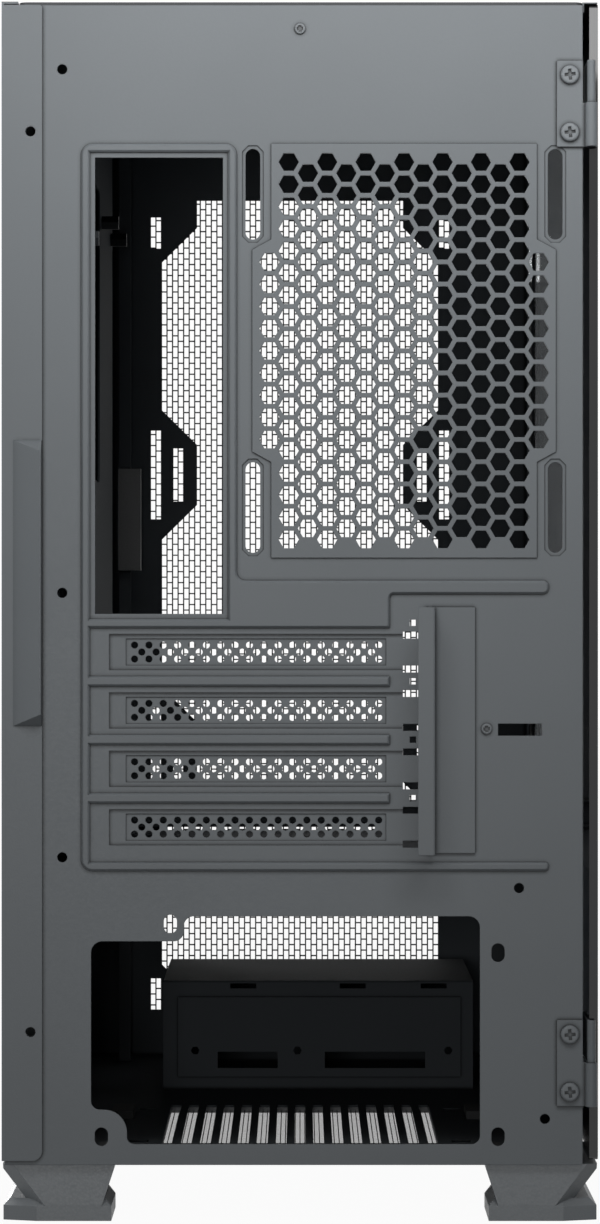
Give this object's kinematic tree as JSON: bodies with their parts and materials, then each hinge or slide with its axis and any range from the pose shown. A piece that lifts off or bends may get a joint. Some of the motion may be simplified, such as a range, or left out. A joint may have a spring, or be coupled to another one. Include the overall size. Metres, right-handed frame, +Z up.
{
  "type": "mid tower pc case",
  "caption": "Steel tower computer case with a hexagon fan grille, expansion slots, power supply window and a hinged glass side door.",
  "frame": {"origin": "middle of the bounding box at the underside of the feet", "axes": "+Z up, -Y out of the rear panel, +X towards the glass door"},
  "size_m": [0.2074, 0.4, 0.4245],
  "materials": {
    "grey_steel": "satin powder coat",
    "black_steel": "satin powder coat",
    "screws": "dark plated",
    "standoffs": "machined",
    "tinted_glass": "dark tint",
    "magnets": "nickel plated",
    "rubber": "matte",
    "grey_plastic": "fine grain",
    "black_plastic": "fine grain",
    "filter_cloth": "fine woven mesh",
    "socket_shells": "plated"
  },
  "bodies": {
    "chassis": {"rear_panel": "grey_steel", "slot_guard": "grey_steel", "slot_cover_1": "grey_steel", "slot_cover_2": "grey_steel", "slot_cover_3": "grey_steel", "slot_cover_4": "grey_steel", "upper_case_leaf": "grey_steel", "lower_case_leaf": "grey_steel", "chassis_top": "grey_steel", "chassis_floor": "black_steel", "front_plate": "black_steel", "board_tray": "black_steel", "supply_shroud": "black_steel", "drive_cage": "black_steel", "cable_bar": "black_steel", "front_mesh": "black_steel", "slot_cover_screws": "screws", "hinge_screws": "screws", "small_screws": "screws", "standoffs": "standoffs", "door_magnets": "magnets", "door_rests": "rubber", "foot_pads": "rubber", "supply_pads": "rubber", "foot_rear_left": "grey_plastic", "foot_rear_right": "grey_plastic", "foot_front_left": "grey_plastic", "foot_front_right": "grey_plastic", "front_bezel": "black_plastic", "connector_block": "black_plastic", "audio_jacks": "black_plastic", "filter_runner_left": "black_plastic", "filter_runner_right": "black_plastic", "cable_clamp": "black_plastic", "connector_board": "black_plastic", "top_filter": "filter_cloth", "data_sockets": "socket_shells"},
    "door": {"glass_door": "tinted_glass", "door_strip": "black_steel", "upper_door_leaf": "grey_steel", "lower_door_leaf": "grey_steel"},
    "side_cover": {"side_panel": "grey_steel"},
    "filter_tray": {"floor_filter": "black_plastic"},
    "power_key": {"power_button": "black_plastic"},
    "reset_key": {"reset_button": "black_plastic"}
  },
  "joints": [
    {"name": "door_swing", "type": "hinge", "parent": "chassis", "child": "door", "pos_m": [0.1012, -0.1881, 0.2], "axis": [0, 0, -1], "range_deg": [0, 110]},
    {"name": "side_panel_slide", "type": "slide", "parent": "chassis", "child": "side_cover", "axis": [0, -1, 0], "range_m": [0, 0.014]},
    {"name": "floor_filter_slide", "type": "slide", "parent": "chassis", "child": "filter_tray", "axis": [0, -1, 0], "range_m": [0, 0.13]},
    {"name": "power_button_press", "type": "slide", "parent": "chassis", "child": "power_key", "axis": [0, 0, -1], "range_m": [0, 0.0012], "stiffness_N_per_m": 800},
    {"name": "reset_button_press", "type": "slide", "parent": "chassis", "child": "reset_key", "axis": [0, 0, -1], "range_m": [0, 0.0012], "stiffness_N_per_m": 800}
  ]
}
